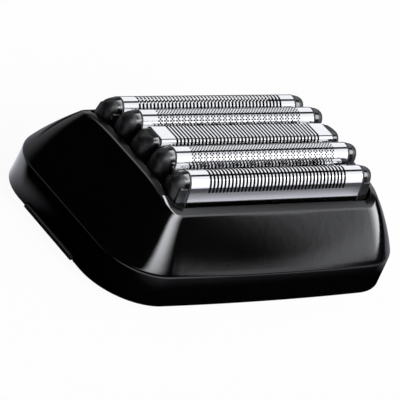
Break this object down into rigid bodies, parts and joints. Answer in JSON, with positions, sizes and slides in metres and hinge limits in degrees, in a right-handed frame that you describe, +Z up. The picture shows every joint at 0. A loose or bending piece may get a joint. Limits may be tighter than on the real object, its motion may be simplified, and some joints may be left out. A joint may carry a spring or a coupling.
{
  "type": "shaver foil head",
  "caption": "Electric shaver head: gloss black frame with a crowned open top, floating arched steel foils in sprung end caps, a middle comb trimmer and side release buttons.",
  "frame": {"origin": "middle of the frame's bottom edge, on the plane it rests on", "axes": "+X along the foils, -Y the front long side in the picture, +Z up out of the foils"},
  "size_m": [0.065, 0.0404, 0.0203],
  "materials": {
    "gloss_black": "piano black, polished",
    "matte_black": "fine moulded matte",
    "cap_black": "satin",
    "button_black": "satin",
    "foil_steel": "bright polished",
    "blade_steel": "ground",
    "spring_steel": "rolled strip"
  },
  "bodies": {
    "frame": {"outer_frame": "gloss_black", "foil_carrier": "matte_black", "float_spring_left_1": "spring_steel", "float_spring_right_1": "spring_steel", "float_spring_left_2": "spring_steel", "float_spring_right_2": "spring_steel", "float_spring_left_3": "spring_steel", "float_spring_right_3": "spring_steel", "float_spring_left_4": "spring_steel", "float_spring_right_4": "spring_steel", "float_spring_left_5": "spring_steel", "float_spring_right_5": "spring_steel", "button_spring_left": "spring_steel", "button_spring_right": "spring_steel"},
    "finishing_rear_unit": {"finishing_foil_rear": "foil_steel", "end_cap_left_1": "cap_black", "end_cap_right_1": "cap_black"},
    "lift_rear_unit": {"lift_foil_rear": "foil_steel", "end_cap_left_2": "cap_black", "end_cap_right_2": "cap_black"},
    "comb_unit": {"comb_blade": "foil_steel", "end_cap_left_3": "cap_black", "end_cap_right_3": "cap_black"},
    "lift_front_unit": {"lift_foil_front": "foil_steel", "end_cap_left_4": "cap_black", "end_cap_right_4": "cap_black"},
    "finishing_front_unit": {"finishing_foil_front": "foil_steel", "end_cap_left_5": "cap_black", "end_cap_right_5": "cap_black"},
    "trimmer": {"trimmer_blade": "blade_steel", "trimmer_drive_block": "matte_black"},
    "left_button": {"release_button_left": "button_black"},
    "right_button": {"release_button_right": "button_black"}
  },
  "joints": [
    {"name": "float_finishing_rear", "type": "slide", "parent": "frame", "child": "finishing_rear_unit", "axis": [0, 0, 1], "range_m": [-0.002, 0], "stiffness_N_per_m": 200, "springref_m": 0.002, "deforming": ["float_spring_left_1", "float_spring_right_1"]},
    {"name": "float_lift_rear", "type": "slide", "parent": "frame", "child": "lift_rear_unit", "axis": [0, 0, 1], "range_m": [-0.002, 0], "stiffness_N_per_m": 200, "springref_m": 0.002, "deforming": ["float_spring_left_2", "float_spring_right_2"]},
    {"name": "float_comb", "type": "slide", "parent": "frame", "child": "comb_unit", "axis": [0, 0, 1], "range_m": [-0.002, 0], "stiffness_N_per_m": 200, "springref_m": 0.002, "deforming": ["float_spring_left_3", "float_spring_right_3"]},
    {"name": "float_lift_front", "type": "slide", "parent": "frame", "child": "lift_front_unit", "axis": [0, 0, 1], "range_m": [-0.002, 0], "stiffness_N_per_m": 200, "springref_m": 0.002, "deforming": ["float_spring_left_4", "float_spring_right_4"]},
    {"name": "float_finishing_front", "type": "slide", "parent": "frame", "child": "finishing_front_unit", "axis": [0, 0, 1], "range_m": [-0.002, 0], "stiffness_N_per_m": 200, "springref_m": 0.002, "deforming": ["float_spring_left_5", "float_spring_right_5"]},
    {"name": "trimmer_stroke", "type": "slide", "parent": "comb_unit", "child": "trimmer", "axis": [1, 0, 0], "range_m": [-0.001, 0.001]},
    {"name": "release_left", "type": "slide", "parent": "frame", "child": "left_button", "axis": [1, 0, 0], "range_m": [0, 0.0012], "stiffness_N_per_m": 500, "springref_m": -0.001, "deforming": ["button_spring_left"]},
    {"name": "release_right", "type": "slide", "parent": "frame", "child": "right_button", "axis": [-1, 0, 0], "range_m": [0, 0.0012], "stiffness_N_per_m": 500, "springref_m": -0.001, "deforming": ["button_spring_right"]}
  ]
}
